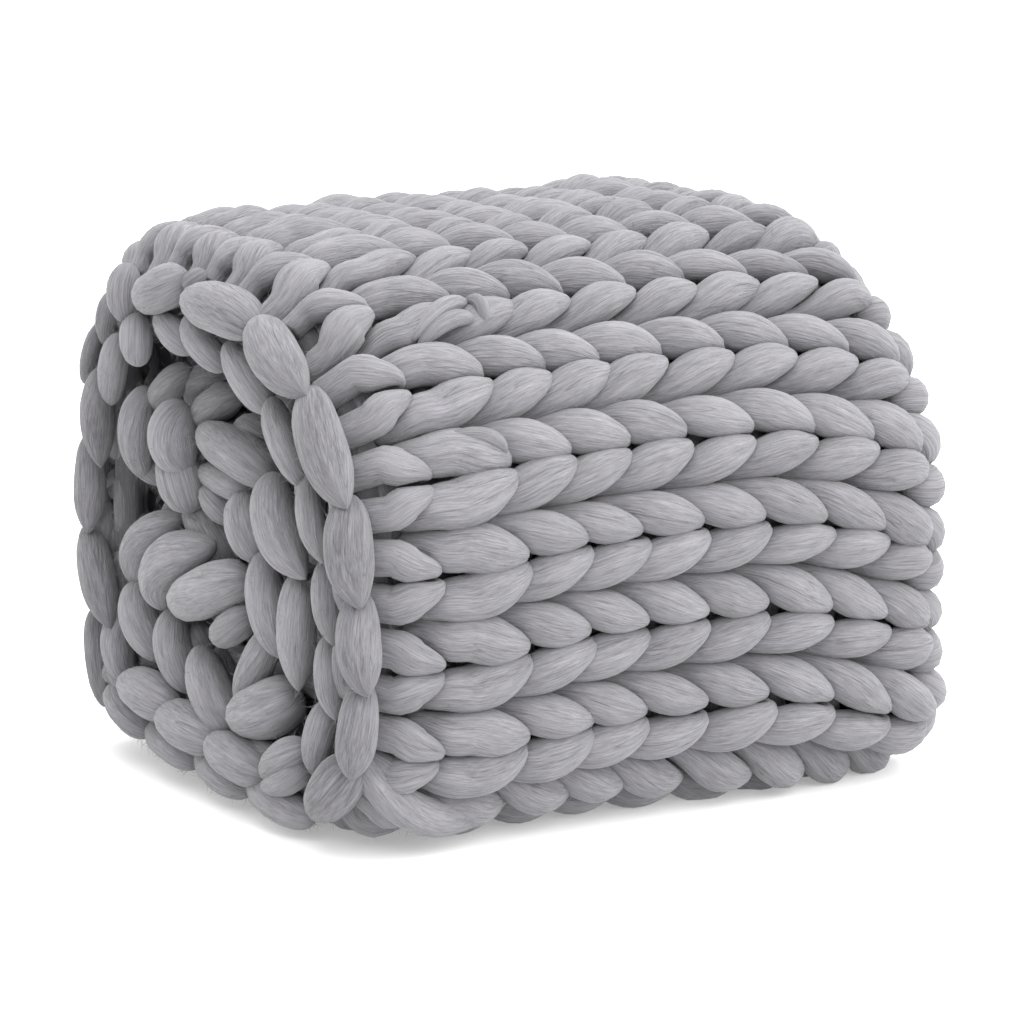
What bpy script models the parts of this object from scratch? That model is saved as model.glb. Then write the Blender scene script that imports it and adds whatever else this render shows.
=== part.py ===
"""A chunky knitted weighted blanket, folded and rolled into a box-shaped bundle.

Metres, +Z up. The bundle lies along X: its open end, where the bound-off edge of every layer
shows, faces -X, and its front wall faces -Y. The origin is under the middle of the bundle, on the
surface that it rests on. The blanket is one thick sheet. Seen from the open end, the sheet starts
at the foot of the back, runs forward along the bottom, up the front, over the top and down the
back, turns in as a second layer on the bottom, rises inside the front wall and ends in two lobes.
"""

import math

import bmesh
import bpy

# The bundle
LENGTH = 0.460
DEPTH = 0.424  # at mid length
HEIGHT = 0.384
SPLAY = 0.03  # the front wall slants: this share deeper at the +X end, and shallower at the -X end
FRONT_TOP = 0.199  # radii of the four long edges, on the outside
BACK_TOP = 0.098
FRONT_BOTTOM = 0.072
BACK_BOTTOM = 0.093
OPEN_END_ROUND = 0.082  # how far from each end the bundle starts to draw in
FAR_END_ROUND = 0.045
DRAW_IN = 0.40  # share of that length by which it has drawn in at the very end
DRAW_CENTRE = 0.10  # height towards which the ends draw in
BACK_Y = 0.2169  # the back wall's outer face, which puts the origin under the bundle's middle

# The cloth
THICK = 0.048
GAP = 0.004  # between layers that lie on each other
HALF = THICK / 2
LAYER = THICK + GAP

# The folds inside the bundle, all at the middle of the cloth's thickness
HOLLOW = 0.035  # open space between the back wall and the two lobes
NOSE = LAYER / 2  # radius of the lobes' noses
FOOT = 0.030  # radius where the inner layer turns up inside the front wall
SHOULDER = 0.100  # radius where it turns back over the upper lobe
FLAP = 0.050  # radius of the outer end, which curls up under the back
FLAP_TURN = 45
FLAP_ACROSS = -0.142  # where that curl meets the flat bottom, from the middle towards the front
LOBE_TURN_ACROSS = 0.044
LOBE_END_ACROSS = 0.105
NOSE_ACROSS = -DEPTH / 2 + THICK + HOLLOW + HALF + NOSE
INNER_WALL_ACROSS = DEPTH / 2 - HALF - LAYER

# The knit: columns of stitches run along X, and each stitch is a V that points to +X
COLUMN_WIDTH = 0.0562  # two legs of the V
FIRST_EDGE = 0.3815  # path length at which a column edge lies, low on the front
STITCH = 0.0445
FIRST_TIP = 0.205  # X of the V tips nearest the far end
TIPS = 9
CHAIN_INNER = 0.046  # width of the bound-off chain along the open edge
FURROW = 0.010  # depth between two rows of legs
CREASE = 0.007  # depth where one leg tucks under the next
SLANT = 0.55 * STITCH  # how far a leg leans along X from its middle to its end
SLANT_FADE = 0.060
BOTH = 0.3  # share of a crease that still shows at the bottom of a furrow
CLEAR = 0.005  # room between the last stitch and the edge of the knit
RAISED_FROM, RAISED_TO = -1, 15  # columns that show on the outside
FINEST_TURN = math.radians(27)
END_BULGE = 0.008

ROVING = (0.39, 0.385, 0.405, 1.0)


def level(layer):
    """Height of the middle of a layer, counted from the bottom."""
    return HALF + layer * LAYER


FOLDS = (
    # name, straight run before the turn, radius of the turn, turn in degrees (inwards is positive)
    ("outer end", 0.0, FLAP, FLAP_TURN),
    ("bottom", DEPTH / 2 - FRONT_BOTTOM - FLAP_ACROSS, FRONT_BOTTOM - HALF, 90),
    ("front wall", HEIGHT - FRONT_BOTTOM - FRONT_TOP, FRONT_TOP - HALF, 90),
    ("top", DEPTH - FRONT_TOP - BACK_TOP, BACK_TOP - HALF, 90),
    ("back wall", HEIGHT - BACK_TOP - LAYER - BACK_BOTTOM, BACK_BOTTOM - HALF, 90),
    ("inner bottom", INNER_WALL_ACROSS - FOOT + DEPTH / 2 - BACK_BOTTOM, FOOT, 90),
    ("inner front wall", level(5) - SHOULDER - level(1) - FOOT, SHOULDER, 90),
    ("upper lobe top", INNER_WALL_ACROSS - SHOULDER - NOSE_ACROSS, NOSE, 180),
    ("upper lobe bottom", LOBE_TURN_ACROSS - NOSE_ACROSS, NOSE, -180),
    ("lower lobe top", LOBE_TURN_ACROSS - NOSE_ACROSS, NOSE, 180),
    ("lower lobe bottom", LOBE_END_ACROSS - NOSE_ACROSS, 0.0, 0),
)

COLUMN_ROWS = (
    # share of the column, depth of the furrow, lean of the stitches
    (0.00, 1.00, -1.0),
    (0.25, 0.00, 0.0),
    (0.50, 0.85, 1.0),
    (0.75, 0.00, 0.0),
)
STITCH_ROWS = (
    # share of a stitch, towards -X from its tip, depth of the crease
    (0.00, 0.85),
    (0.22, 0.00),
    (0.62, 0.20),
)
PLAIN_ROWS = (0.0, 0.25, 0.5, 0.75)
OPEN_RIM = (
    # distance in from the edge, height as a share of half the thickness, shrink between links
    (0.030, 1.00, 0.10),
    (0.009, 0.82, 0.45),
    (0.000, 0.42, 0.80),
    (0.010, 0.02, 0.60),
    (0.002, -0.42, 0.80),
    (0.012, -0.88, 0.45),
)
FAR_RIM = ((0.010, 0.72), (0.000, 0.10), (0.010, -0.72))
LINK_PINCH = 0.010  # how far the edge draws in where two links of its chain meet
LINK_SQUEEZE = 0.22  # share by which it is thinner there
CHAIN_SINK = 0.65  # depth between the chain and the knit, as a share of a furrow
FAR_SINK, FAR_FURROW = 0.25, 0.45  # the same at the far end, and the furrow's share of the rest
FAR_INSET = 0.012
FLAT_FROM = -LENGTH / 2 + OPEN_END_ROUND  # between these two X the bundle doesn't draw in
FLAT_TO = LENGTH / 2 - FAR_END_ROUND
FLAT_ROUND = 0.037  # how far the flat of the cloth's inner side goes on towards the open edge


def turn_length(radius, turn):
    return radius * abs(math.radians(turn))


def walk(distance):
    """(across, up, heading) of the middle of the cloth, this far along it from its outer end."""
    heading = -math.radians(FLAP_TURN)
    across = FLAP_ACROSS - FLAP * math.sin(-heading)
    up = HALF + FLAP * (1 - math.cos(heading))
    for _, run, radius, turn in FOLDS:
        step = min(run, distance)
        across += step * math.cos(heading)
        up += step * math.sin(heading)
        distance -= step
        arc = turn_length(radius, turn)
        if distance <= 0 or not arc:
            continue
        side = math.copysign(1, turn)
        after = heading + side * min(distance, arc) / radius
        across += side * radius * (math.sin(after) - math.sin(heading))
        up -= side * radius * (math.cos(after) - math.cos(heading))
        heading = after
        distance -= arc
        if distance <= 0:
            break
    return across, up, heading


def cloth_length():
    return sum(run + turn_length(radius, turn) for _, run, radius, turn in FOLDS)


def draw_in(x):
    """How far the bundle has drawn in at this X."""
    span = FAR_END_ROUND if x > 0 else OPEN_END_ROUND
    inside = LENGTH / 2 - span
    share = max(0.0, (abs(x) - inside) / span)
    angle = share * math.acos(1 - DRAW_IN)
    return span * (1 - math.cos(angle))


def place(x, distance, height):
    """World point at this X, this far along the cloth and this high above its middle."""
    across, up, heading = walk(distance)
    across += height * math.sin(heading)
    up -= height * math.cos(heading)
    shrink = draw_in(x)
    across *= 1 - shrink / (DEPTH / 2)
    up = DRAW_CENTRE + (up - DRAW_CENTRE) * (1 - shrink / (HEIGHT / 2))
    from_back = (DEPTH / 2 + across) * (1 + SPLAY * x / (LENGTH / 2))
    return x, BACK_Y - from_back, up


def column_at(index):
    return FIRST_EDGE + index * COLUMN_WIDTH


def stations():
    """(distance, furrow, lean, share of the column, raised) of each cross-section, in order."""
    found = []
    end = cloth_length()
    for index in range(-7, 60):
        start = column_at(index)
        raised = RAISED_FROM <= index < RAISED_TO
        rows = COLUMN_ROWS if raised else [(share, 0.0, 0.0) for share in PLAIN_ROWS]
        for share, furrow, lean in rows:
            distance = start + share * COLUMN_WIDTH
            if 0.006 < distance < end - 0.006:
                found.append((distance, furrow, lean, share, raised))
    first = (0.0, 0.0, 0.0, 0.3, False)
    last = (end, 0.0, 0.0, 0.3, False)
    return thinned([first, *found, last])


def thinned(rows):
    """The sections without those quarter rows that a straight stretch doesn't need."""
    kept = [rows[0]]
    for before, row, after in zip(rows, rows[1:], rows[2:]):
        turn = abs(walk(after[0])[2] - walk(kept[-1][0])[2])
        needed = row[4] or row[3] in (0.0, 0.5) or turn > FINEST_TURN
        if needed or before[4] or after[4]:
            kept.append(row)
    return [*kept, rows[-1]]


def pinch_of(share):
    """1 where two links of the edge chain meet, at mid column, and 0 halfway along a link."""
    return 0.5 - 0.5 * math.cos(2 * math.pi * share)


def section(furrow, lean, share, raised):
    """Points (x, height) round the cloth's cross-section, from the far end along the outer side."""
    open_edge, far_edge = -LENGTH / 2, LENGTH / 2
    low, high = open_edge + CHAIN_INNER, far_edge - FAR_INSET
    if raised:
        points = [(high, HALF - FURROW * (FAR_SINK + (1 - FAR_SINK) * FAR_FURROW * furrow))]
        points += stitch_points(furrow, lean, low, high)
    else:
        points = [(high, HALF), (FLAT_TO, HALF), (FLAT_FROM, HALF)]
    points.append((low, HALF - FURROW * CHAIN_SINK))
    pinch = pinch_of(share)
    for inset, high_share, shrink in OPEN_RIM:
        squeeze = 1 - LINK_SQUEEZE * pinch * abs(high_share)
        x = open_edge + inset + LINK_PINCH * pinch * shrink
        points.append((x, HALF * high_share * squeeze))
    points += [(x, -HALF) for x in (FLAT_FROM - FLAT_ROUND, FLAT_FROM, FLAT_TO)]
    points += [(far_edge - inset, HALF * high_share) for inset, high_share in reversed(FAR_RIM)]
    return points


def stitch_points(furrow, lean, low, high):
    """Points along one row of the knit, from its first V tip to the chain along the open edge."""
    points = []
    for tip in range(TIPS):
        for back, crease in STITCH_ROWS:
            x = FIRST_TIP - (tip + back) * STITCH
            fade = max(0.0, min(1.0, (high - x) / SLANT_FADE, (x - low) / SLANT_FADE))
            x += lean * SLANT * fade
            if low + CLEAR < x < high - CLEAR:
                both = BOTH * CREASE * crease * furrow
                points.append((x, HALF - max(FURROW * furrow, CREASE * crease) - both))
    return points


def ring(mesh, distance, points):
    return [mesh.verts.new(place(x, distance, height)) for x, height in points]


def shares(points):
    """Distance round the section of each point, as a share of the whole way round."""
    steps = [math.dist(a, b) for a, b in zip(points, points[1:] + points[:1])]
    total = sum(steps)
    return [sum(steps[:i]) / total for i in range(len(points))]


def join(mesh, ring_a, ring_b, points_a, points_b):
    """Faces between two rings, which may have different numbers of points."""
    if len(ring_a) == len(ring_b):
        for i in range(len(ring_a)):
            j = (i + 1) % len(ring_a)
            mesh.faces.new((ring_a[i], ring_a[j], ring_b[j], ring_b[i]))
        return
    share_a, share_b = shares(points_a) + [1.0], shares(points_b) + [1.0]
    i = j = 0
    while i < len(ring_a) or j < len(ring_b):
        a, b = ring_a[i % len(ring_a)], ring_b[j % len(ring_b)]
        step_a = j == len(ring_b) or (i < len(ring_a) and share_a[i + 1] <= share_b[j + 1])
        if step_a:
            i += 1
            mesh.faces.new((a, ring_a[i % len(ring_a)], b))
        else:
            j += 1
            mesh.faces.new((a, ring_b[j % len(ring_b)], b))


def cap(mesh, loop, centre, flip):
    middle = mesh.verts.new(centre)
    for a, b in zip(loop, loop[1:] + loop[:1]):
        mesh.faces.new((b, a, middle) if flip else (a, b, middle))


def blanket_mesh():
    mesh = bmesh.new()
    rows = stations()
    before = None
    for distance, furrow, lean, share, raised in rows:
        points = section(furrow, lean, share, raised)
        loop = ring(mesh, distance, points)
        if before:
            join(mesh, before[0], loop, before[1], points)
        else:
            cap(mesh, loop, place(0.0, distance - END_BULGE, 0.0), True)
        before = (loop, points)
    cap(mesh, before[0], place(0.0, rows[-1][0] + END_BULGE, 0.0), False)
    bmesh.ops.triangulate(mesh, faces=mesh.faces[:])
    bmesh.ops.recalc_face_normals(mesh, faces=mesh.faces[:])
    return mesh


def roving_material():
    material = bpy.data.materials.new("grey roving")
    material.use_nodes = True
    shader = material.node_tree.nodes["Principled BSDF"]
    shader.inputs["Base Color"].default_value = ROVING
    shader.inputs["Roughness"].default_value = 0.9
    shader.inputs["Metallic"].default_value = 0.0
    return material


def main():
    for old in list(bpy.data.objects):
        bpy.data.objects.remove(old, do_unlink=True)
    data = bpy.data.meshes.new("blanket")
    mesh = blanket_mesh()
    mesh.to_mesh(data)
    mesh.free()
    data.shade_smooth()
    data.materials.append(roving_material())
    blanket = bpy.data.objects.new("blanket", data)
    bpy.context.scene.collection.objects.link(blanket)


main()
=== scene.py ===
"""Looks for the folded chunky-knit weighted blanket.

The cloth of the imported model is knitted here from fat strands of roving: one strand for each course
of stitches, on the folds of the solid, and a chain of petal-shaped links along the open edge.
Everything is in metres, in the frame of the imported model, unless a comment says otherwise.
"""

import math

import bpy
import numpy as np
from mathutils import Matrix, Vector


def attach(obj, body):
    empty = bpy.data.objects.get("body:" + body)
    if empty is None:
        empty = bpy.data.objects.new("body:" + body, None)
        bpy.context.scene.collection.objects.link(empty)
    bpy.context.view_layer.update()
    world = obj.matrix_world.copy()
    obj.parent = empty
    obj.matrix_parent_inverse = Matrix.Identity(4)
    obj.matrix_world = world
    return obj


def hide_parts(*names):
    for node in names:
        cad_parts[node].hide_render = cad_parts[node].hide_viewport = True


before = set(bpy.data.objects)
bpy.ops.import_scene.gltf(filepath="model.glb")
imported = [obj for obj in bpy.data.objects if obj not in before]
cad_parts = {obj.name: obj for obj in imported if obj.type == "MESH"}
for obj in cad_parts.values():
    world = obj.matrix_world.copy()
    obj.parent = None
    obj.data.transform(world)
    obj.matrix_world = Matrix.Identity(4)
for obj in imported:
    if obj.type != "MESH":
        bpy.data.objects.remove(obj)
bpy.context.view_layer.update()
SEED = 20417
RNG = np.random.default_rng(SEED)
MM = 0.001

# ---------------------------------------------------------------- the folded cloth
# the folds of the solid, some of whose sizes are fitted again here to what the strands show;
# across runs from the back (negative) to the front, and up from the floor
LENGTH, DEPTH, HEIGHT = 0.460, 0.424, 0.384
SPLAY = 0.03  # the far end is deeper than the middle by this share, and the open end shallower
FRONT_TOP, BACK_TOP, FRONT_BOTTOM, BACK_BOTTOM = 0.199, 0.110, 0.076, 0.072  # radii of the long edges
OPEN_END_ROUND, FAR_END_ROUND = 0.082, 0.045  # the blanket starts to draw in this near to each end,
DRAW_IN, DRAW_IN_FAR = 0.40, 0.25  # is drawn in by these shares of that at the end itself,
DRAW_CENTRE, DRAW_CENTRE_FAR = 0.175, 0.05  # towards these heights,
DRAW_MOST = 1.15  # and goes on past the end up to this share of the way
BACK_Y = 0.2169  # Y of the back wall's outside
THICK, GAP = 0.048, 0.004  # of a layer, and between two layers
HALF, LAYER = THICK / 2, THICK + GAP
HOLLOW = 0.035  # open space between the back wall and the lobes
NOSE, FOOT, SHOULDER = LAYER / 2, 0.030, 0.100  # radii of the lobes' turns and of the inner wall's turns
FLAP, FLAP_TURN = 0.050, 45  # radius and degrees of the curl at the cloth's outer end,
FLAP_ACROSS = -0.142  # and where the cloth lies flat after it
LOBE_TURN_ACROSS, LOBE_END_ACROSS = 0.044, 0.105  # where the lobes turn deep inside, and where the cloth ends
NOSE_ACROSS = -DEPTH / 2 + THICK + HOLLOW + HALF + NOSE
INNER_WALL_ACROSS = DEPTH / 2 - HALF - LAYER
COLUMN_WIDTH = 0.0562  # of a column of stitches, along the cloth
FIRST_EDGE = 0.3760  # where the lowest column of the front wall starts, along the cloth


def level(layer):
    return HALF + layer * LAYER


FOLDS = (
    # straight run before the turn, radius of the turn, turn in degrees (inwards is positive)
    (0.0, FLAP, FLAP_TURN),
    (DEPTH / 2 - FRONT_BOTTOM - FLAP_ACROSS, FRONT_BOTTOM - HALF, 90),
    (HEIGHT - FRONT_BOTTOM - FRONT_TOP, FRONT_TOP - HALF, 90),
    (DEPTH - FRONT_TOP - BACK_TOP, BACK_TOP - HALF, 90),
    (HEIGHT - BACK_TOP - LAYER - BACK_BOTTOM, BACK_BOTTOM - HALF, 90),
    (INNER_WALL_ACROSS - FOOT + DEPTH / 2 - BACK_BOTTOM, FOOT, 90),
    (level(5) - SHOULDER - level(1) - FOOT, SHOULDER, 90),
    (INNER_WALL_ACROSS - SHOULDER - NOSE_ACROSS, NOSE, 180),
    (LOBE_TURN_ACROSS - NOSE_ACROSS, NOSE, -180),
    (LOBE_TURN_ACROSS - NOSE_ACROSS, NOSE, 180),
    (LOBE_END_ACROSS - NOSE_ACROSS, 0.0, 0),
)
CLOTH = sum(run + radius * abs(math.radians(turn)) for run, radius, turn in FOLDS)


def walk(distance):
    """(across, up, heading) of the middle of the cloth, this far along it from its outer end."""
    heading = -math.radians(FLAP_TURN)
    across = FLAP_ACROSS - FLAP * math.sin(-heading)
    up = HALF + FLAP * (1 - math.cos(heading))
    for run, radius, turn in FOLDS:
        step = min(run, distance)
        across += step * math.cos(heading)
        up += step * math.sin(heading)
        distance -= step
        arc = radius * abs(math.radians(turn))
        if distance <= 0 or not arc:
            continue
        side = math.copysign(1, turn)
        after = heading + side * min(distance, arc) / radius
        across += side * radius * (math.sin(after) - math.sin(heading))
        up -= side * radius * (math.cos(after) - math.cos(heading))
        heading = after
        distance -= arc
        if distance <= 0:
            break
    return across, up, heading


WALK_STEPS = 2600  # about one for each millimetre of cloth
WALKED = np.linspace(0.0, CLOTH, WALK_STEPS)
WALK = np.array([walk(d) for d in WALKED])


def smooth(share):
    share = np.clip(share, 0.0, 1.0)
    return share * share * (3 - 2 * share)


def grown(value, start, full):
    """0 before the start, 1 from full on, and smooth between them."""
    return smooth((value - start) / (full - start))


def hump(value, at, half_span):
    """1 at this value, falling to 0 at half its span away."""
    return np.cos(np.clip((value - at) / half_span, -1.0, 1.0) * math.pi / 2) ** 2


def bell(value, at, width):
    """1 at this value, falling away on both sides."""
    return np.exp(-(((value - at) / width) ** 2))


def draw_in(x):
    """How far the blanket is drawn in at this X."""
    span = np.where(x > 0, FAR_END_ROUND, OPEN_END_ROUND)
    share = np.clip((np.abs(x) - (LENGTH / 2 - span)) / span, 0.0, DRAW_MOST)
    return span * (1 - np.cos(share * np.arccos(1 - np.where(x > 0, DRAW_IN_FAR, DRAW_IN))))


def place(x, s, n):
    """World points at this X, this far along the cloth and this high above its middle."""
    across, up, heading = (np.interp(s, WALKED, WALK[:, i]) for i in range(3))
    beyond = np.minimum(s, 0.0) + np.maximum(s - CLOTH, 0.0)
    across = across + beyond * np.cos(heading) + n * np.sin(heading)
    up = up + beyond * np.sin(heading) - n * np.cos(heading)
    shrink = draw_in(x)
    across = across * (1 - shrink / (DEPTH / 2))
    centre = np.where(x > 0, DRAW_CENTRE_FAR, DRAW_CENTRE)
    up = centre + (up - centre) * (1 - shrink / (HEIGHT / 2))
    from_back = (DEPTH / 2 + across) * (1 + SPLAY * x / (LENGTH / 2))
    return np.stack([x, BACK_Y - from_back, up], axis=-1)


# how far the rows of the front wall hang down: the lowest everywhere, the middle ones near the open
# end, and all of them near the far end
SAG = (
    # most, where it is most, half its span, X where it starts, X where it is full
    (0.007, 0.405, 0.11, 0.60, 0.50),
    (0.005, 0.405, 0.16, -0.03, -0.16),
    (0.008, 0.520, 0.20, 0.00, -0.17),
    (0.030, 0.480, 0.40, 0.08, 0.25),
)


def sagged(x, s):
    for most, at, span, start, full in SAG:
        s = s - most * hump(s, at, span) * grown(x, start, full)
    return s


# the corner between the front wall and the underside is squarer near the far end
CORNER_OUT = 0.010  # it is pushed out by this much
CORNER_AT, CORNER_SPAN = 0.355, 0.075  # at this place along the cloth, and by less up to this far beside it
CORNER_FROM, CORNER_FULL = -0.04, 0.12  # this starts at the first X and is full from the second
CORNER_WRAP = 0.006  # the far edge is this much further out there
# past the far edge the cloth turns round it
WRAP_FROM = 0.214  # X where that starts
WRAP_ARC = 0.024  # length of cloth for each radian of the turn
WRAP_REACH = 0.010  # how far the strands stand off the edge,
WRAP_THINNER = 0.5  # and the share of their height in the cloth that they lose,
WRAP_BLEND = 0.9  # both in full from this angle of the turn on, in radians


def wrapped(x, s, n):
    """As place, but sagging at the front, and with what lies past the far edge wrapped round it."""
    s = sagged(x, s)
    corner = hump(s, CORNER_AT, CORNER_SPAN)
    n = n + CORNER_OUT * corner * grown(x, CORNER_FROM, CORNER_FULL)
    x = x - CORNER_WRAP * corner
    turn = np.clip((x - WRAP_FROM) / WRAP_ARC, 0.0, math.pi)
    blend = smooth(turn / WRAP_BLEND)
    reach = n * (1 - WRAP_THINNER * blend) + WRAP_REACH * blend
    x = np.minimum(x, WRAP_FROM) + CORNER_WRAP * corner + reach * np.sin(turn)
    return place(x, s, reach * np.cos(turn))


# ---------------------------------------------------------------- strands
SIDES = 14  # of a tube
LUMPS = 0.035  # how uneven a tube's thickness is
# its lumps: how strong, how many round it, and how slowly they drift along it (metres for a radian)
RIPPLES = ((1.0, 2, 0.05), (0.7, 3, 0.07))
ROOTS_OUT = 0.1  # loose fibres start where a tube faces out of the cloth by more than this share
FLOOR_CLEAR = 0.0004  # nothing lies lower than this


def put(name, data):
    """An object with these data, in the scene."""
    thing = bpy.data.objects.new(name, data)
    bpy.context.scene.collection.objects.link(thing)
    return thing


def carried(tangent, up):
    """Two directions across the tube at each point, carried along it without a twist."""
    side = np.empty_like(tangent)
    now = np.cross(tangent[0], up)
    for i, ahead in enumerate(tangent):
        now = now - ahead * now.dot(ahead)
        now = now / math.sqrt(now.dot(now))
        side[i] = now
    return side, np.cross(side, tangent)


def rippled(run, angle):
    """Random lumps at each place along a tube and each angle round it."""
    phases = RNG.uniform(0, 2 * math.pi, 2 * len(RIPPLES)).reshape(-1, 2)
    total = np.zeros((len(run), len(angle)))
    for (strength, number, length), (turned, slid) in zip(RIPPLES, phases):
        drift = number * np.sin(run / length + slid)[:, None]
        total = total + strength * np.cos(number * angle[None, :] + turned + drift)
    return total


class Strands:
    """Points, faces and strand coordinates of many tubes, for one mesh."""

    def __init__(self):
        self.points, self.faces, self.along, self.tone_and_shading = [], [], [], []
        self.roots, self.away, self.ahead = [], [], []
        self.count = 0

    def tube(self, path, up, width, height, tone_and_shading, sides=SIDES, lumps=LUMPS, shift=0.0):
        """A closed tube on these points, of these half sizes; up points out of the cloth at its start."""
        tangent = np.gradient(path, axis=0)
        tangent /= np.linalg.norm(tangent, axis=1, keepdims=True)
        side, out = carried(tangent, up)
        steps = np.linalg.norm(np.diff(path, axis=0), axis=1)
        run = np.concatenate([[0.0], np.cumsum(steps)])
        angle = np.arange(sides) * 2 * math.pi / sides - math.pi / 2
        swell = 1 + lumps * rippled(run, angle)
        ring = (
            path[:, None, :]
            + side[:, None, :] * (np.cos(angle)[None, :] * width[:, None] * swell)[..., None]
            + out[:, None, :] * (np.sin(angle)[None, :] * height[:, None] * swell)[..., None]
        )
        self.remember(ring, path, tangent, out)
        first = self.count
        self.skin(ring, run + shift, tone_and_shading)
        last = self.count - sides
        self.cap(first, sides, path[0], run[0] + shift, tone_and_shading[0], True)
        self.cap(last, sides, path[-1], run[-1] + shift, tone_and_shading[-1], False)

    def remember(self, ring, path, tangent, out):
        """Keeps the outer half of a tube's points, as places where loose fibres can start."""
        away = ring - path[:, None, :]
        away /= np.linalg.norm(away, axis=-1, keepdims=True)
        outer = (away * out[:, None, :]).sum(axis=-1) > ROOTS_OUT
        self.roots.append(ring[outer])
        self.away.append(away[outer])
        self.ahead.append(np.broadcast_to(tangent[:, None, :], ring.shape)[outer])

    def skin(self, ring, u, tone_and_shading):
        """The quads between the rings, with the place along the strand and round it at each corner."""
        rings, sides = ring.shape[:2]
        i = np.arange(rings - 1)[:, None] * sides
        j = np.arange(sides)[None, :]
        k = (j + 1) % sides
        quads = np.stack([i + j, i + k, i + sides + k, i + sides + j], axis=-1).reshape(-1, 4)
        v = np.arange(sides + 1) / sides
        corner_u = np.stack([u[:-1], u[:-1], u[1:], u[1:]], axis=-1)[:, None, :].repeat(sides, axis=1)
        corner_v = np.stack([v[:-1], v[1:], v[1:], v[:-1]], axis=-1)[None, :, :].repeat(rings - 1, axis=0)
        self.points.append(ring.reshape(-1, 3))
        self.faces.append(quads + self.count)
        self.along.append(np.stack([corner_u, corner_v], axis=-1).reshape(-1, 2))
        self.tone_and_shading.append(np.repeat(tone_and_shading, sides))
        self.count += rings * sides

    def cap(self, base, sides, centre, u, tone_and_shading, start):
        """Triangles round a centre, which close the ring from base on."""
        j = np.arange(sides)
        k = (j + 1) % sides
        triangles = np.stack([base + k, base + j, np.full(sides, self.count)], axis=-1)
        v = np.arange(sides + 1) / sides
        first, second = v[1:], v[:-1]
        if not start:
            triangles = triangles[:, [1, 0, 2]]
            first, second = second, first
        corner_v = np.stack([first, second, v[:-1]], axis=-1)
        corner_u = np.full(corner_v.shape, u)
        self.points.append(centre[None, :])
        self.faces.append(triangles)
        self.along.append(np.stack([corner_u, corner_v], axis=-1).reshape(-1, 2))
        self.tone_and_shading.append(np.array([tone_and_shading]))
        self.count += 1

    def mesh(self, name, material):
        data = bpy.data.meshes.new(name)
        points = np.concatenate(self.points)
        points[:, 2] = np.maximum(points[:, 2], FLOOR_CLEAR)
        sizes = np.concatenate([np.full(len(f), f.shape[1]) for f in self.faces])
        corners = np.concatenate([f.reshape(-1) for f in self.faces])
        data.vertices.add(len(points))
        data.vertices.foreach_set("co", points.astype(np.float32).ravel())
        data.loops.add(len(corners))
        data.loops.foreach_set("vertex_index", corners.astype(np.int32))
        data.polygons.add(len(sizes))
        starts = np.concatenate([[0], np.cumsum(sizes)[:-1]])
        data.polygons.foreach_set("loop_start", starts.astype(np.int32))
        data.polygons.foreach_set("use_smooth", np.ones(len(sizes), bool))
        uv = data.uv_layers.new(name="strand")
        uv.data.foreach_set("uv", np.concatenate(self.along).astype(np.float32).ravel())
        # the tone attribute holds random tone, painted shade and painted light
        tone_and_shading = data.attributes.new("tone_and_shading", "FLOAT", "POINT")
        tone_and_shading.data.foreach_set("value", np.concatenate(self.tone_and_shading).astype(np.float32))
        data.update(calc_edges=True)
        data.validate()
        data.materials.append(material)
        return put(name, data)


# ---------------------------------------------------------------- the knit
FIRST_COLUMN, LAST_COLUMN = -7, 38  # columns are counted from the lowest of the front wall, along the cloth
STEPS = 48  # samples for each stitch
# X of the point of the V's of each course, from the far end to the open end
COURSE_TIPS = (0.2750, 0.2290, 0.1833, 0.1364, 0.0878, 0.0385, -0.0068, -0.0490, -0.0957, -0.1525)
TIP_IN = 0.0026  # the legs are drawn this much further back, because the point has a thickness of its own
# how thick the strand of each course is next to the rest, everywhere but on the top
COURSE_FAT = (1, 1, 1, 1, 1, 1, 1, 1, 1.10, 0.88)
# the legs of the course beside the last come up earlier, and nearer to the middle of the V, where other
# strands hide them: how much earlier, how much nearer, where in the leg, and over how much of it
RISE_EARLY, RISE_NEARER, RISE_AT, RISE_SPAN = 0.10, 0.22, 0.32, 0.12
# the legs of the last course are shorter than the rest, and thicker and closer where they lie on the outside
LAST_FROM = 0.020  # what reaches further back from the point of the V than this is shortened,
LAST_SHARE = ((0.95, 0.50), (1.00, 0.25))  # by place along the cloth: the place, and the share that is left,
LAST_FAT, LAST_FAT_TOP = 0.0138, 0.0112  # how thick they are at least, on the front and on the top
LAST_OUT, LAST_OUT_TOP = 0.0146, 0.0190  # how far they are from the middle of the V at most, there
LAST_ABOVE = -0.0118  # both where they lie higher in the cloth than this
LAST_ENDS = 14  # and this is its last column, because single strands stand for it on the layers inside

PLACE, BACK, OUT, HIGH, FAT = range(5)  # the columns of the next table
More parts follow.
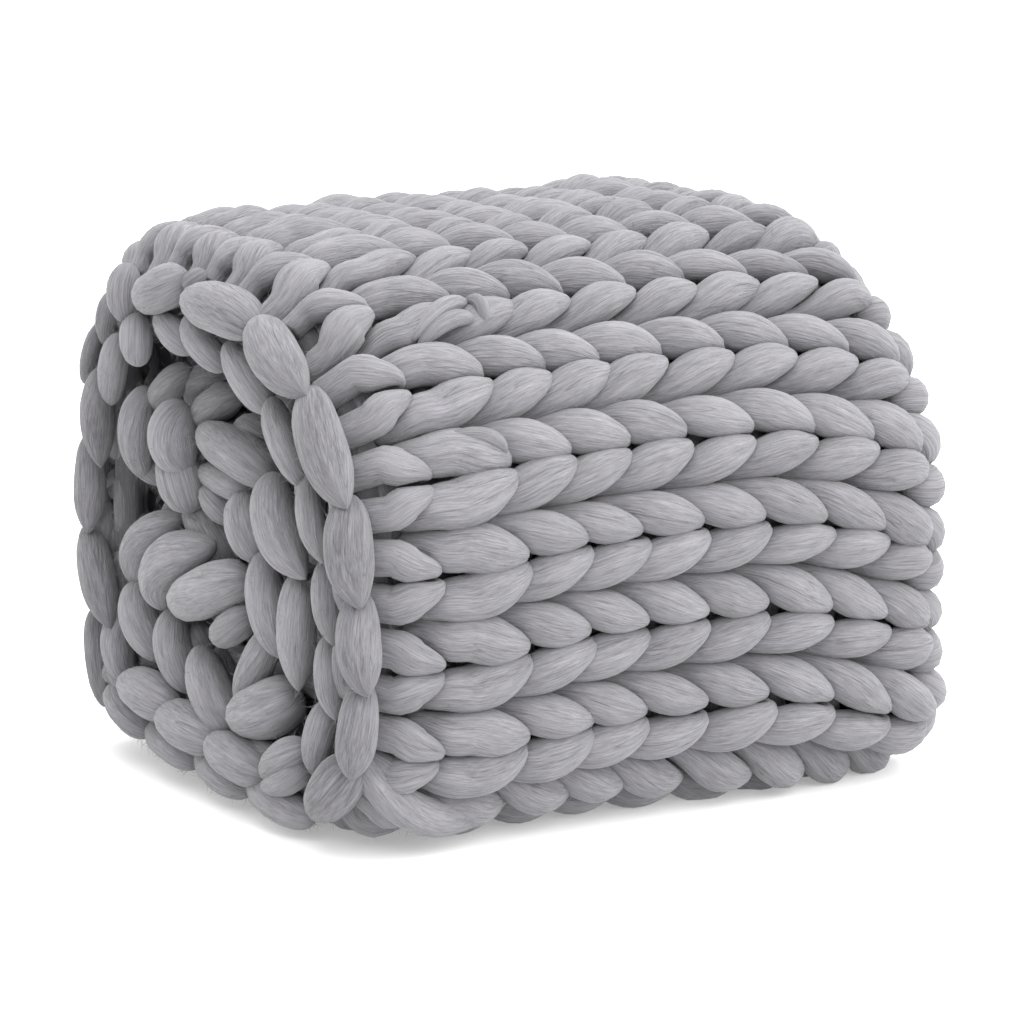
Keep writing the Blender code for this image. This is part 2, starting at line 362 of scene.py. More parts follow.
# one leg of a loop, from the middle of its head (0) to the middle of its foot (1), both behind the cloth
LEG = (
    # place, back from the point of the V, out from the middle of the V, height in the cloth, radius
    (0.00, 0.0790, 0.0000, -0.0130, 0.0075),
    (0.08, 0.0780, 0.0100, -0.0130, 0.0075),
    (0.15, 0.0740, 0.0185, -0.0115, 0.0076),
    (0.22, 0.0660, 0.0210, -0.0100, 0.0082),
    (0.31, 0.0560, 0.0198, -0.0050, 0.0098),
    (0.40, 0.0465, 0.0180, 0.0010, 0.0120),
    (0.49, 0.0370, 0.0150, 0.0066, 0.0140),
    (0.58, 0.0270, 0.0116, 0.0098, 0.0142),
    (0.66, 0.0180, 0.0092, 0.0105, 0.0119),
    (0.73, 0.0105, 0.0074, 0.0098, 0.0088),
    (0.79, 0.0050, 0.0056, 0.0082, 0.0062),
    (0.84, 0.0020, 0.0046, 0.0045, 0.0046),
    (0.88, 0.0022, 0.0046, -0.0020, 0.0048),
    (0.92, 0.0045, 0.0070, -0.0090, 0.0062),
    (0.96, 0.0070, 0.0150, -0.0135, 0.0072),
    (1.00, 0.0080, 0.0281, -0.0145, 0.0072),
)


def curve(places, values, at):
    """A smooth curve through the values at these places."""
    places, values = np.asarray(places), np.asarray(values)
    slopes = np.gradient(values, places)
    low = np.clip(np.searchsorted(places, at, side="right") - 1, 0, len(places) - 2)
    width = places[low + 1] - places[low]
    share = (at - places[low]) / width
    rest = 1 - share
    return (
        values[low] * (1 + 2 * share) * rest**2
        + values[low + 1] * (3 - 2 * share) * share**2
        + width * share * rest * (slopes[low] * rest - slopes[low + 1] * share)
    )


def leg_curve(column, at):
    """A column of the table at places from -1 to 1 about the middle of a head, the lower leg below 0."""
    rows = np.array(LEG)
    places, values = rows[:, PLACE], rows[:, column]
    beyond = values[-3:-1][::-1]
    if column == OUT:
        beyond = 2 * values[-1] - beyond
    places = np.concatenate([places, 2 - places[-3:-1][::-1]])
    values = np.concatenate([values, beyond])
    other_leg = -values[:0:-1] if column == OUT else values[:0:-1]
    return curve(np.concatenate([-places[:0:-1], places]), np.concatenate([other_leg, values]), at)


SKEW, SKEW_FROM, SKEW_TO = 0.006, 0.56, 0.50  # the lowest rows of the front are this much nearer the far end
LOWER_REACH = 0.0022  # the lower leg of each V reaches this much further,
LOWER_AT, LOWER_SPAN = -0.76, 0.16  # about this place in it
TOP_FROM, TOP_TO = 0.62, 1.00  # the top lies between these places along the cloth,
TOP_BLEND = 0.08  # with a smooth change over this much just inside them,
LOOSE_TOP, FLAT_TOP, TOP_LIFT = 1.2, 0.22, 0.0045  # and there the stitches are less even, flatter and higher
# random sizes: how far a strand wanders along the cloth, along X and in height, and how its thickness
# (as a share of itself) and its tone change
WANDER_S, WANDER_X, WANDER_N, WANDER_FAT, WANDER_TONE = 0.0009, 0.0013, 0.0007, 0.035, 1.0
SHIFT_FIRST, SHIFT_EACH = 40, 3.1  # shift of the streaks in the first course, and what each next course adds
END_ROUND = 0.016  # the strands are rounded off over this much past the cloth's ends,
END_THIN = 0.001  # and never thinner than the root of this, as a share of their thickness


def wander(count, size):
    """A slow random offset for each of count samples, with a new random value every half stitch."""
    spacing = STEPS // 2
    knots = np.arange(0, count + spacing, spacing)
    values = RNG.normal(0.0, size, len(knots))
    position = np.arange(count) / spacing
    low = np.minimum(position.astype(int), len(knots) - 2)
    share = smooth(position - low)
    return values[low] * (1 - share) + values[low + 1] * share


def on_top(s):
    """1 on the top and 0 elsewhere, with a smooth change between them."""
    return smooth((s - TOP_FROM) / TOP_BLEND) * smooth((TOP_TO - s) / TOP_BLEND)


def ends(s):
    """Less than 1 past the cloth's two ends, where each strand is rounded off."""
    past = np.maximum(-s, s - CLOTH) / END_ROUND
    return np.sqrt(np.clip(1 - np.clip(past, 0.0, 1.0) ** 2, END_THIN, 1.0))


def risen(at, out):
    """Out, height and thickness of the legs of the course beside the last."""
    rise = bell(np.abs(at), RISE_AT, RISE_SPAN)
    early = at + np.sign(at) * RISE_EARLY * rise
    return out * (1 - RISE_NEARER * rise), leg_curve(HIGH, early), leg_curve(FAT, early)


def shortened(middle, back, out, n, fat):
    """Back, out and thickness of the legs of the last course, whose V's have their middles here."""
    share = np.interp(middle, *np.transpose(LAST_SHARE))
    back = np.where(back > LAST_FROM, LAST_FROM + (back - LAST_FROM) * share, back)
    beside = (back > LAST_FROM) & (n > LAST_ABOVE)
    top = on_top(middle)
    least = LAST_FAT + (LAST_FAT_TOP - LAST_FAT) * top
    most = LAST_OUT + (LAST_OUT_TOP - LAST_OUT) * top
    fat = np.where(beside, np.maximum(fat, least), fat)
    out = np.where(beside, np.clip(out, -most, most), out)
    return back, out, fat


def course(strands, index):
    """One strand of the knit, running across the folds."""
    last = index == len(COURSE_TIPS) - 1
    columns = np.arange(FIRST_COLUMN, (LAST_ENDS if last else LAST_COLUMN) + 1)
    at = np.tile(-1 + 2 * np.arange(STEPS) / STEPS, len(columns))
    middle = FIRST_EDGE + (np.repeat(columns, STEPS) + 0.5) * COLUMN_WIDTH
    back, out, n, fat = (leg_curve(column, at) for column in (BACK, OUT, HIGH, FAT))
    if index == len(COURSE_TIPS) - 2:
        out, n, fat = risen(at, out)
    if last:
        back, out, fat = shortened(middle, back, out, n, fat)
    s = middle + out
    top = on_top(s)
    loose = 1 + LOOSE_TOP * top
    s = s + loose * wander(len(at), WANDER_S)
    x = COURSE_TIPS[index] - TIP_IN - back + loose * wander(len(at), WANDER_X)
    if not last:
        x = x + LOWER_REACH * bell(at, LOWER_AT, LOWER_SPAN) + SKEW * grown(s, SKEW_FROM, SKEW_TO)
    n = n + loose * wander(len(at), WANDER_N)
    n = n * (1 - FLAT_TOP * top) + TOP_LIFT * top
    fat = fat * (1 + loose * wander(len(at), WANDER_FAT)) * ends(s)
    fat = fat * (1 + (COURSE_FAT[index] - 1) * (1 - top))
    tone_and_shading = wander(len(at), WANDER_TONE)
    path = wrapped(x, s, n)
    up = wrapped(x[0], s[0], n[0] + MM) - path[0]
    strands.tube(path, up, fat, fat * (1 - FLAT_TOP * top), tone_and_shading, shift=SHIFT_EACH * index + SHIFT_FIRST)


# ---------------------------------------------------------------- the photo's view
VIEW_FROM = np.array((-1.4709, -2.2382, 0.7428))
VIEW_TOWARDS = np.array((0.54239, 0.81469, -0.20712))
VIEW_ALONG = VIEW_TOWARDS / np.linalg.norm(VIEW_TOWARDS)
VIEW_RIGHT = np.cross(VIEW_ALONG, (0.0, 0.0, 1.0)) / math.hypot(VIEW_ALONG[0], VIEW_ALONG[1])
VIEW_UP = np.cross(VIEW_RIGHT, VIEW_ALONG)
FRAME, FOCAL = 1024, 4000  # width of the photo and focal length, in pixels


def seen(across, down, x):
    """The points with this X that show at these pixels of the photo, and how far off they are."""
    ray = (
        VIEW_ALONG
        + VIEW_RIGHT * ((across - FRAME / 2) / FOCAL)[:, None]
        - VIEW_UP * ((down - FRAME / 2) / FOCAL)[:, None]
    )
    far = (x - VIEW_FROM[0]) / ray[:, 0]
    return VIEW_FROM + ray * far[:, None], far


# ---------------------------------------------------------------- the open end
# the chain along the edge of the cloth, read off the photo and adjusted
EDGE = (
    # across and down in the photo, in pixels, of its start, of the point it bends towards and of its end;
    # X of its middle in millimetres; radius in pixels; which ends are pointed: 0 neither, 1 the last, 2 both
    # the edge itself, from where the back wall turns over the top to the floor in front
    (116, 294, 104, 313, 108, 342, -205, 11.5, 0),
    (130, 270, 119, 290, 129, 316, -216, 17.5, 0),
    (202, 274, 192, 280, 185, 290, -212, 9.9, 0),
    (185, 277, 164, 286, 146, 299, -217, 23.9, 0),
    (194, 301, 223, 305, 256, 327, -218, 26.4, 0),
    (261, 326, 270, 359, 306, 396, -218, 25.8, 1),
    (311, 397, 319, 449, 347, 509, -217, 26.4, 1),
    (349, 503, 343, 558, 361, 609, -216, 24.6, 1),
    (360, 598, 352, 652, 368, 697, -215, 22.5, 1),
    (363, 688, 357, 737, 351, 781, -215, 22.0, 1),
    (353, 762, 334, 786, 321, 810, -214, 25.5, 0),
    # the edge down the back wall
    (99, 327, 89, 349, 86, 378, -208, 9.6, 0),
    (99, 367, 94, 412, 101, 468, -212, 18.7, 2),
    (88, 444, 92, 489, 88, 534, -212, 16.0, 1),
    (90, 532, 97, 579, 111, 629, -212, 18.8, 1),
    (111, 506, 100, 528, 111, 562, -198, 10.5, 0),
    (119, 512, 115, 540, 119, 568, -192, 9.0, 0),
    (108, 445, 110, 480, 108, 518, -190, 12.0, 0),
    (96, 614, 97, 654, 105, 699, -206, 13.5, 0),
)
# the loose strands that show in the open end, in the same columns
INSIDE = (
    # just inside the edge
    (118, 339, 111, 366, 111, 398, -213, 14.9, 0),
    (137, 319, 136, 338, 137, 358, -214, 17.2, 0),
    (162, 320, 173, 334, 192, 349, -213, 16.1, 0),
    (190, 323, 200, 345, 223, 366, -213, 17.2, 0),
    (231, 350, 242, 376, 269, 408, -213, 18.2, 0),
    (273, 405, 279, 437, 301, 479, -213, 18.2, 0),
    (302, 480, 305, 495, 311, 510, -208, 10.5, 0),
    (308, 483, 308, 523, 324, 564, -211, 15.5, 1),
    (324, 567, 323, 606, 334, 646, -211, 13.7, 1),
    (328, 642, 325, 681, 336, 721, -211, 14.2, 1),
    (329, 704, 317, 737, 313, 776, -211, 16.1, 1),
    # upper lobe
    (145, 392, 125, 428, 144, 471, -204, 16.3, 0),
    (189, 370, 166, 384, 154, 408, -190, 15.7, 0),
    (183, 408, 160, 435, 186, 468, -207, 25.3, 0),
    (175, 456, 179, 480, 189, 504, -203, 22.8, 0),
    (132, 444, 138, 461, 159, 480, -194, 13.4, 0),
    (190, 388, 204, 379, 226, 374, -176, 18.0, 0),
    (199, 423, 210, 404, 238, 395, -187, 18.5, 0),
    (242, 431, 254, 422, 269, 441, -186, 16.3, 0),
    (207, 436, 238, 451, 271, 477, -198, 23.9, 0),
    (204, 473, 233, 483, 254, 493, -192, 16.8, 0),
    (210, 491, 215, 504, 231, 518, -192, 16.1, 0),
    (245, 500, 241, 528, 261, 555, -200, 23.0, 0),
    # lower lobe
    (175, 522, 126, 534, 143, 582, -200, 20.9, 0),
    (205, 547, 148, 555, 168, 601, -206, 26.3, 0),
    (245, 578, 207, 586, 182, 605, -208, 26.3, 0),
    (252, 615, 231, 625, 222, 637, -203, 18.8, 0),
    (175, 504, 173, 519, 167, 534, -186, 13.4, 0),
    (194, 512, 215, 528, 231, 563, -186, 22.0, 0),
    (197, 625, 202, 638, 210, 652, -187, 12.9, 0),
    (223, 652, 221, 670, 234, 688, -187, 13.4, 0),
    # the layer under the lobes
    (138, 587, 132, 622, 162, 654, -206, 20.4, 0),
    (175, 615, 164, 649, 189, 686, -206, 20.4, 0),
    (202, 654, 205, 697, 234, 729, -207, 22.0, 0),
    (245, 717, 269, 711, 296, 693, -203, 31.6, 0),
    (124, 614, 108, 646, 130, 680, -206, 18.2, 0),
    (132, 654, 146, 660, 162, 663, -186, 12.0, 0),
    # the layer inside the front wall
    (274, 480, 265, 528, 306, 579, -207, 24.6, 1),
    (264, 559, 262, 606, 280, 650, -206, 19.6, 0),
    (298, 579, 295, 633, 299, 692, -207, 19.6, 1),
    (272, 632, 253, 668, 245, 697, -206, 17.7, 0),
    # the outer end, under the rest
    (116, 690, 127, 716, 152, 729, -209, 18.8, 0),
    (155, 729, 179, 752, 199, 760, -209, 18.8, 0),
    (204, 757, 222, 779, 250, 788, -209, 17.7, 0),
    (258, 786, 277, 806, 311, 818, -209, 19.8, 0),
    (130, 681, 151, 696, 175, 708, -214, 23.0, 0),
    (167, 713, 189, 729, 218, 739, -214, 24.1, 0),
    (215, 745, 237, 761, 266, 774, -214, 23.6, 0),
    (268, 772, 282, 755, 305, 747, -216, 17.1, 0),
    (269, 786, 288, 784, 305, 765, -215, 15.5, 0),
    # behind the edge of the back wall
    (106, 330, 100, 356, 98, 386, -190, 12.0, 0),
)
EDGE_PAINTED_SHADE, EDGE_SHADE_FROM, EDGE_SHADE_TO = -4.5, 0.37, 0.28  # painted shade: the chain is darker below these heights,
INSIDE_PAINTED_LIGHT = 2.0  # painted light: the loose strands are a little paler, and
DEEP_PAINTED_SHADE = -12.0  # painted shade: what lies behind the stitches is the darkest,
DEEP_FROM, DEEP_TO = -200, -170  # and the single strands darken to it, as painted shade, between these X in millimetres
PUFF_IN = 0.009  # how much deeper the two ends of a puff lie than its middle
POINT_IN = -0.002  # the same for a pointed end, which lies over the next puff
PUFF_OVER = 1.16  # the blunt ends go this much further than the points say, so that the neighbours hide them
PUFF_LUMPS = 0.05  # how uneven a single strand's thickness is
PUFF_SHIFT = 20  # metres by which its streaks are shifted at most
SPINDLE_STEPS = 30
BLUNT, SHARP = (2.6, 0.5), (2.2, 0.8)  # powers that shape the blunt and the pointed ends
END_LEAST = 0.03  # share of the thickness that is left at the very end
# a plain strand behind the edge of the outer wall: how deep, its height in the cloth, its radius and its end
CORE_IN, CORE_N, CORE_FAT, CORE_TO = 0.046, -0.015, 0.0105, 1.20
CORE_STEPS, CORE_SIDES, CORE_SHIFT = 400, 10, 70


# single strands that lie over the regular stitches, first read off the photo and then adjusted
STRAYS = (
    # across and down in the photo, in pixels, of its start, of the point it bends towards and of its end;
    # height of its middle in the cloth and radius, in millimetres; which ends are pointed, as above
    (368, 771, 401, 824, 512, 805, 15, 14, 1),
    (419, 328, 439, 305, 467, 296, 21, 6, 0),
    (427, 335, 447, 318, 475, 312, 20, 6, 0),
    (470, 294, 483, 304, 485, 317, 20, 5, 0),
    (459, 433, 493, 433, 511, 452, 22, 5, 1),
)
STRAY_X, STRAY_S = np.arange(-0.23, 0.23, MM), np.arange(0.33, 0.76, MM)  # X and places on the cloth to try


def on_cloth(corners, n):
    """X and place along the cloth of the points this high in it that show at these pixels of the photo."""
    x, s = (grid.ravel() for grid in np.meshgrid(STRAY_X, STRAY_S))
    offset = place(x, s, np.full_like(x, n)) - VIEW_FROM
    scale = FOCAL / (offset @ VIEW_ALONG)
    across = FRAME / 2 + offset @ VIEW_RIGHT * scale
    down = FRAME / 2 - offset @ VIEW_UP * scale
    nearest = [np.hypot(across - a, down - d).argmin() for a, d in corners]
    return np.stack([x[nearest], s[nearest]], axis=-1)


def spindle(corners, pointed):
    """Points of a single strand, how far along it they are (-1 to 1), its thickness, where it is pointed."""
    start, bend, end = corners
    share = 0.5 - 0.5 * np.cos(np.linspace(0.0, math.pi, SPINDLE_STEPS))
    along = 2 * share - 1
    sharp = np.where(along > 0, pointed > 0, pointed > 1)
    t = (0.5 + 0.5 * np.where(sharp, 1.0, PUFF_OVER) * along)[:, None]
    flat = (1 - t) ** 2 * start + 2 * t * (1 - t) * bend + t**2 * end
    blunt_end, sharp_end = (np.clip(1 - np.abs(along) ** a, 0.0, 1.0) ** b for a, b in (BLUNT, SHARP))
    return flat, along, np.maximum(np.where(sharp, sharp_end, blunt_end), END_LEAST), sharp


def single(strands, path, up, fat, tone_and_shading):
    """A single strand, lumpier than the rest and with streaks of its own."""
    strands.tube(path, up, fat, fat, tone_and_shading, lumps=PUFF_LUMPS, shift=RNG.uniform(0, PUFF_SHIFT))


def puff(strands, row, pale=0.0, shade=0.0):
    """A single strand of the open end, made paler by pale as painted light, darker low down by shade as
    painted shade, and darker still as painted shade where it lies deep.
    """
    *corners, x_mid, radius, pointed = row
    flat, along, fat, sharp = spindle(np.reshape(corners, (3, 2)), pointed)
    x = MM * x_mid + np.where(sharp, POINT_IN, PUFF_IN) * along**2
    path, far = seen(flat[:, 0], flat[:, 1], x)
    # pale adds painted light, and shade adds painted shade low down
    tone_and_shading = RNG.normal(0, 1.0) + pale + shade * grown(path[:, 2], EDGE_SHADE_FROM, EDGE_SHADE_TO)
    # painted shade on the strands that lie deep in the open end
    tone_and_shading = tone_and_shading + DEEP_PAINTED_SHADE * grown(x_mid, DEEP_FROM, DEEP_TO)
    single(strands, path, (-1.0, 0.0, 0.0), far * radius / FOCAL * fat, tone_and_shading)


def stray(strands, row):
    """A single strand over the regular stitches."""
    *corners, n_mid, radius, pointed = row
    corners = on_cloth(np.reshape(corners, (3, 2)), MM * n_mid)
    flat, along, fat, sharp = spindle(corners, pointed)
    x, s = flat.T
    n = MM * n_mid - np.where(sharp, PUFF_IN / 2, PUFF_IN) * along**2
    path = place(x, s, n)
    up = place(x[0], s[0], n[0] + MM) - path[0]
    single(strands, path, up, MM * radius * fat, np.full(len(path), RNG.normal(0, 1.0)))


def core(strands):
    """The plain strand behind the edge of the outer wall, painted the darkest shade."""
    s = np.linspace(-END_ROUND, CORE_TO, CORE_STEPS)
    x = np.full_like(s, CORE_IN - LENGTH / 2)
    path = place(x, s, np.full_like(s, CORE_N))
    up = place(x[0], s[0], CORE_N + MM) - path[0]
    fat = CORE_FAT * ends(s)
    strands.tube(path, up, fat, fat, np.full_like(s, DEEP_PAINTED_SHADE), sides=CORE_SIDES, shift=CORE_SHIFT)


# ---------------------------------------------------------------- loose fibres and the sheets inside
def plain(name, points, faces, material, tone_and_shading):
    """A piece from these points and faces, with one value of tone and painted shade on all of it."""
    data = bpy.data.meshes.new(name)
    data.from_pydata(points.tolist(), [], faces)
    tone_and_shading_values = data.attributes.new("tone_and_shading", "FLOAT", "POINT")
    tone_and_shading_values.data.foreach_set("value", np.full(len(points), tone_and_shading, np.float32))
    data.materials.append(material)
    return put(name, data)


FIBRES = 30000
FIBRE_MIDDLE = np.array((0.0, 0.0, 0.192))  # none starts inside a box with this middle
FIBRE_BOX = np.array((0.186, 0.186, 0.165))  # and these half sizes,
FIBRE_LOWEST = 0.010  # nor below this height, because it would lie on the floor
FIBRE_SHORT, FIBRE_LONG = 0.004, 0.011
FIBRE_HALF_WIDTH = 0.00013
FIBRE_LEAN = 0.9  # how far it leans along the strand, next to
FIBRE_AWAY = (0.15, 0.8)  # how far it stands off it, from and to,
FIBRE_ASTRAY = 0.2  # and how far it leans any other way
FIBRE_CURL, FIBRE_BACK = 0.6, 0.3  # how far it curls any way, and back to the strand
FIBRE_ROWS = (0.0, 0.34, 0.67, 1.0)  # shares of its length where it has two points
FIBRE_TAPER = 0.9  # share of its width that is gone at its end


def fuzz(name, groups, material):
    """Loose fibres that stand off the strands: thin flat ribbons that taper to a point."""
    roots, away, ahead = (
        np.concatenate([block for group in groups for block in getattr(group, part)])
        for part in ("roots", "away", "ahead")
    )
    outside = ((np.abs(roots - FIBRE_MIDDLE) / FIBRE_BOX).max(axis=1) > 1) & (roots[:, 2] > FIBRE_LOWEST)
    chosen = RNG.choice(np.flatnonzero(outside), FIBRES, replace=False)
    roots, away, ahead = roots[chosen], away[chosen], ahead[chosen]
    length = RNG.uniform(FIBRE_SHORT, FIBRE_LONG, (FIBRES, 1))
    lean = RNG.normal(0, FIBRE_LEAN, (FIBRES, 1))
    start = away * RNG.uniform(*FIBRE_AWAY, (FIBRES, 1)) + ahead * lean
    start = start + RNG.normal(0, FIBRE_ASTRAY, (FIBRES, 3))
    start /= np.linalg.norm(start, axis=1, keepdims=True)
    curl = RNG.normal(0, FIBRE_CURL, (FIBRES, 3)) - FIBRE_BACK * away
    across = np.cross(start, RNG.normal(0, 1, (FIBRES, 3)))
    across /= np.linalg.norm(across, axis=1, keepdims=True)
    rows = []
    for share in FIBRE_ROWS:
        middle = roots + length * (start * share + curl * share**2 * 0.5)
        half = across * FIBRE_HALF_WIDTH * (1 - FIBRE_TAPER * share)
        rows += [middle - half, middle + half]
    points = np.stack(rows, axis=1).reshape(-1, 3)
    points[:, 2] = np.maximum(points[:, 2], FLOOR_CLEAR)
    first = np.arange(FIBRES)[:, None] * len(rows) + np.arange(0, len(rows) - 2, 2)[None, :]
    quads = np.stack([first, first + 1, first + 3, first + 2], axis=-1).reshape(-1, 4)
    return plain(name, points, quads.tolist(), material, 0.0)


BACKING_FROM, BACKING_TO, BACKING_N = -0.175, 0.222, -0.0125  # from and to along X, and height in the cloth
BACKING_ROWS, BACKING_COLUMNS = 420, 20


def backing(name, material):
    """A sheet inside the cloth, which closes the holes between the stitches; it is painted the darkest shade,
    which shows in the holes.
    """
    along_x = np.linspace(BACKING_FROM, BACKING_TO, BACKING_COLUMNS)
    x, s = np.meshgrid(along_x, np.linspace(0.0, CLOTH, BACKING_ROWS))
    points = place(x.ravel(), s.ravel(), np.full(x.size, BACKING_N))
    rows = np.arange(BACKING_ROWS - 1)[:, None] * BACKING_COLUMNS
    first = (rows + np.arange(BACKING_COLUMNS - 1)[None, :]).ravel()
    quads = np.stack([first, first + 1, first + BACKING_COLUMNS + 1, first + BACKING_COLUMNS], axis=-1)
    return plain(name, points, quads.tolist(), material, DEEP_PAINTED_SHADE)


STOP_X, STOP_N = 0.10, -0.008  # its X, and the height in the cloth of its edge,
STOP_FROM, STOP_TO, STOP_STEPS = 0.02, 1.26, 160  # which runs from and to these places in so many steps


def stop(name, material):
    """A sheet across the space inside the outer wall, which stops the view from end to end; it is painted the
    darkest shade.
    """
    s = np.linspace(STOP_FROM, STOP_TO, STOP_STEPS)
    points = place(np.full_like(s, STOP_X), s, np.full_like(s, STOP_N))
    return plain(name, points, [tuple(range(len(points)))], material, DEEP_PAINTED_SHADE)


# ---------------------------------------------------------------- materials
DARK_GREY, PALE_GREY = (0.093, 0.0905, 0.098, 1), (0.262, 0.258, 0.274, 1)
DARK_AT, PALE_AT = 0.28, 0.72  # the mixed noise that gives these greys
TWIST = 5.0  # radians by which the fibres turn round the strand in a metre
STRETCH = 7.0  # how far the noise moves on in a metre of strand; once round it is about 6.3
FINE_NOISE = (14.0, 3.0, 0.68)  # scale, detail and roughness of the single fibres,
BROAD_NOISE = (3.0, 2.0, 0.5)  # of the broader streaks
SLOW_NOISE = (1.6, 1.0, 0.5)  # and of the noise that makes creases
FINE_SHARE, BROAD_SHARE = 0.7, 0.3  # in the colour
FINE_BUMP, BROAD_BUMP = 0.7, 0.6  # in the relief
TONE_STEP = 0.02  # what a tone of 1 adds; the tone holds random tone, painted shade and painted light
CREASE_AT, CREASE_NARROW = 0.44, 60.0  # a crease lies where the slow noise has this value; how narrow it is
CREASE_PAINTED_SHADE, CREASE_DEEP = 0.10, 0.25  # the painted shade it takes off the colour, and what it takes off the relief
BUMP_STRENGTH, BUMP_HEIGHT = 0.6, 0.0022
FLOOR_GREY, FLOOR_GLOW = (0.70, 0.70, 0.702, 1), 0.30  # the glow keeps the shadow on the floor faint


def new_material(name, settings):
    """A material whose shader has these settings, and its node tree and shader."""
    material = bpy.data.materials.new(name)
    material.use_nodes = True
    shader = material.node_tree.nodes["Principled BSDF"]
    for setting, value in settings.items():
        shader.inputs[setting].default_value = value
    return material, material.node_tree, shader


def math_node(tree, operation, a, b=None):
    """The result of this operation on two values, each a number or the output of a node."""
    node = tree.nodes.new("ShaderNodeMath")
    node.operation = operation
    for socket, value in zip(node.inputs, (a, b)):
        if isinstance(value, (int, float)):
            socket.default_value = value
        elif value is not None:
            tree.links.new(value, socket)
    return node.outputs["Value"]


def weighted(tree, a, a_share, b, b_share):
    """The sum of two values, each times its share."""
    first, second = math_node(tree, "MULTIPLY", a, a_share), math_node(tree, "MULTIPLY", b, b_share)
    return math_node(tree, "ADD", first, second)


def noise(tree, vector, settings):
    node = tree.nodes.new("ShaderNodeTexNoise")
    for setting, value in zip(("Scale", "Detail", "Roughness"), settings):
        node.inputs[setting].default_value = value
    tree.links.new(vector, node.inputs["Vector"])
    return node.outputs["Fac"]


def along_strand(tree):
    """Where the noise is read: along the strand with a slight twist, and closed on itself round it."""
    strand = tree.nodes.new("ShaderNodeUVMap")
    strand.uv_map = "strand"
    split = tree.nodes.new("ShaderNodeSeparateXYZ")
    tree.links.new(strand.outputs["UV"], split.inputs["Vector"])
    along, around = split.outputs["X"], split.outputs["Y"]
    turn = weighted(tree, around, 2 * math.pi, along, TWIST)
    joined = tree.nodes.new("ShaderNodeCombineXYZ")
    tree.links.new(math_node(tree, "COSINE", turn), joined.inputs["X"])
    tree.links.new(math_node(tree, "SINE", turn), joined.inputs["Y"])
    tree.links.new(math_node(tree, "MULTIPLY", along, STRETCH), joined.inputs["Z"])
    return joined.outputs["Vector"]


def roving_material():
    material, tree, shader = new_material(
        "grey roving",
        {
            "Roughness": 0.85,
            "Metallic": 0.0,
            "Specular IOR Level": 0.25,
            "Sheen Weight": 0.2,
            "Sheen Roughness": 0.45,
        },
    )
    streaks = along_strand(tree)
    fine, broad, slow = (noise(tree, streaks, kind) for kind in (FINE_NOISE, BROAD_NOISE, SLOW_NOISE))
    tone_and_shading = tree.nodes.new("ShaderNodeAttribute")
    tone_and_shading.attribute_name = "tone_and_shading"
    # a few thin creases along the strand, where the slow noise passes one value: painted shade in the colour
    # and a dip in the relief
    apart = math_node(tree, "ABSOLUTE", math_node(tree, "SUBTRACT", slow, CREASE_AT))
    beside = math_node(tree, "MINIMUM", math_node(tree, "MULTIPLY", apart, CREASE_NARROW), 1.0)
    crease = math_node(tree, "SUBTRACT", 1.0, beside)

    mixed = weighted(tree, fine, FINE_SHARE, broad, BROAD_SHARE)
    # the tone attribute brings random tone, painted shade and painted light into the colour
    mixed = math_node(tree, "ADD", mixed, math_node(tree, "MULTIPLY", tone_and_shading.outputs["Fac"], TONE_STEP))
    # painted shade in the creases
    mixed = math_node(tree, "SUBTRACT", mixed, math_node(tree, "MULTIPLY", crease, CREASE_PAINTED_SHADE))
    ramp = tree.nodes.new("ShaderNodeValToRGB")
    for mark, position, colour in zip(ramp.color_ramp.elements, (DARK_AT, PALE_AT), (DARK_GREY, PALE_GREY)):
        mark.position = position
        mark.color = colour
    tree.links.new(mixed, ramp.inputs["Fac"])
    tree.links.new(ramp.outputs["Color"], shader.inputs["Base Color"])

    height = weighted(tree, fine, FINE_BUMP, broad, BROAD_BUMP)
    height = math_node(tree, "SUBTRACT", height, math_node(tree, "MULTIPLY", crease, CREASE_DEEP))
    bump = tree.nodes.new("ShaderNodeBump")
    bump.inputs["Strength"].default_value = BUMP_STRENGTH
    bump.inputs["Distance"].default_value = BUMP_HEIGHT
    tree.links.new(height, bump.inputs["Height"])
    tree.links.new(bump.outputs["Normal"], shader.inputs["Normal"])
    return material


def floor_material():
    return new_material(
        "pale floor",
        {
            "Base Color": FLOOR_GREY,
            "Emission Color": (1.0, 1.0, 1.0, 1),
            "Emission Strength": FLOOR_GLOW,
            "Roughness": 1.0,
            "Specular IOR Level": 0.0,
        },
    )[0]


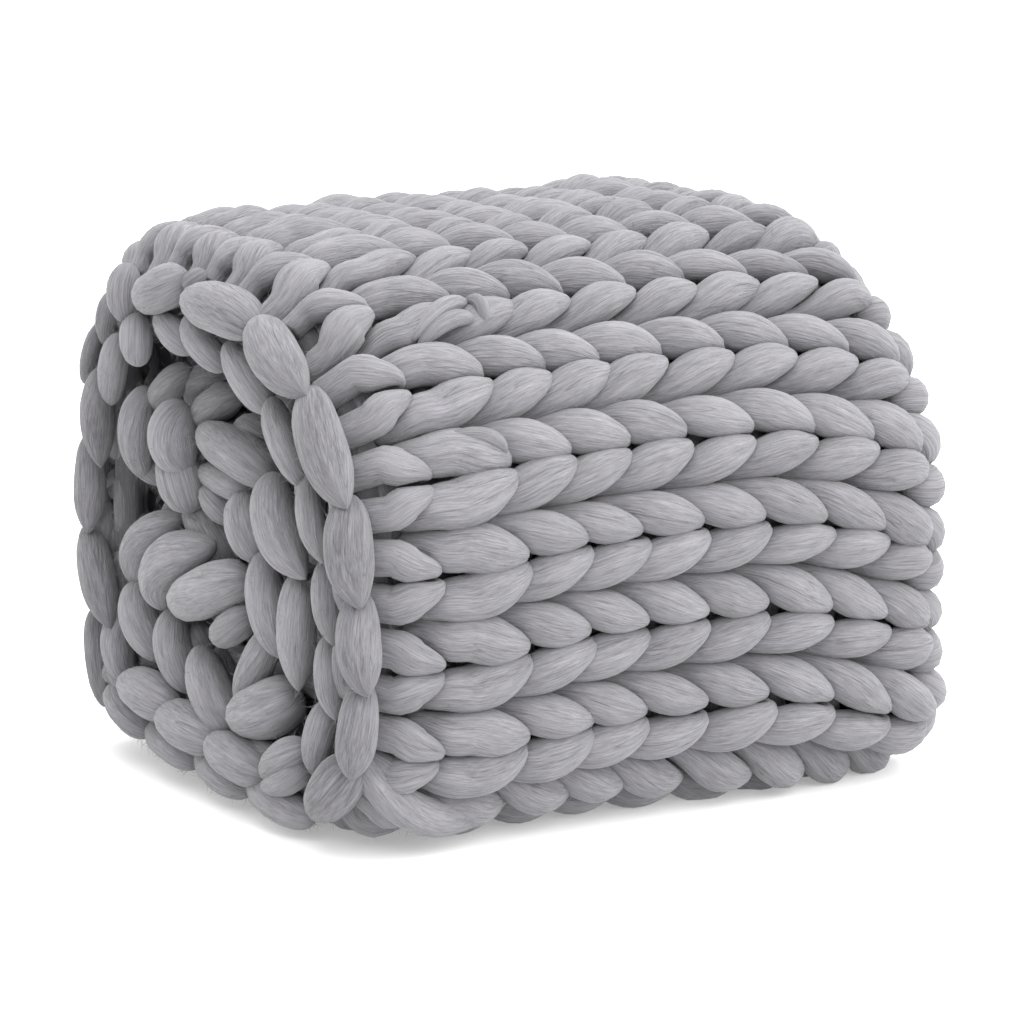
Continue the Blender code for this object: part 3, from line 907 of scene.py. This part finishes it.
# ---------------------------------------------------------------- the blanket
COURSES_TOGETHER = 2  # in one piece
roving = roving_material()
pieces, groups = [], []
for first in range(0, len(COURSE_TIPS), COURSES_TOGETHER):
    strands = Strands()
    for index in range(first, first + COURSES_TOGETHER):
        course(strands, index)
    groups.append(strands)
    pieces.append(strands.mesh(f"knit_courses_{first}", roving))
strands = Strands()
core(strands)
# the chain, with painted shade low down
for row in EDGE:
    puff(strands, row, shade=EDGE_PAINTED_SHADE)
# the loose strands, with painted light
for row in INSIDE:
    puff(strands, row, pale=INSIDE_PAINTED_LIGHT)
for row in STRAYS:
    stray(strands, row)
groups.append(strands)
pieces.append(strands.mesh("open_end", roving))
pieces.append(fuzz("fuzz", groups, roving))
pieces.append(backing("backing", roving))
pieces.append(stop("inner_stop", roving))

for piece in pieces:
    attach(piece, "root")
    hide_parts("blanket")

# ---------------------------------------------------------------- stage, light and camera
FLOOR_HALF = 40.0
WORLD_STRENGTH = 1.42
SUN_ENERGY, SUN_ANGLE, SUN_TOWARDS = 4.8, 105, (-0.35, 0.42, -1.0)  # the angle is in degrees
SENSOR_WIDTH = 36.0  # in millimetres, as the lens is
CAMERA_REACH = 200.0

floor_mesh = bpy.data.meshes.new("floor")
floor_corners = [(FLOOR_HALF * i, FLOOR_HALF * j, 0) for i, j in ((-1, -1), (1, -1), (1, 1), (-1, 1))]
floor_mesh.from_pydata(floor_corners, [], [(0, 1, 2, 3)])
floor_mesh.materials.append(floor_material())
floor = put("floor", floor_mesh)

world = bpy.data.worlds.new("studio")
world.use_nodes = True
world.node_tree.nodes["Background"].inputs["Color"].default_value = (1.0, 1.0, 1.0, 1)
world.node_tree.nodes["Background"].inputs["Strength"].default_value = WORLD_STRENGTH
bpy.context.scene.world = world

sun_data = bpy.data.lights.new("soft key", "SUN")
sun_data.energy = SUN_ENERGY
sun_data.angle = math.radians(SUN_ANGLE)
sun = put("soft key", sun_data)
sun.rotation_mode = "QUATERNION"
sun.rotation_quaternion = Vector(SUN_TOWARDS).to_track_quat("-Z", "Y")

camera_data = bpy.data.cameras.new("camera")
camera_data.sensor_width = SENSOR_WIDTH
camera_data.lens = SENSOR_WIDTH * FOCAL / FRAME
camera_data.clip_end = CAMERA_REACH
camera = put("camera", camera_data)
camera.location = VIEW_FROM
camera.rotation_mode = "QUATERNION"
camera.rotation_quaternion = Vector(VIEW_ALONG).to_track_quat("-Z", "Y")
bpy.context.scene.camera = camera
bpy.context.scene.view_settings.view_transform = "Standard"
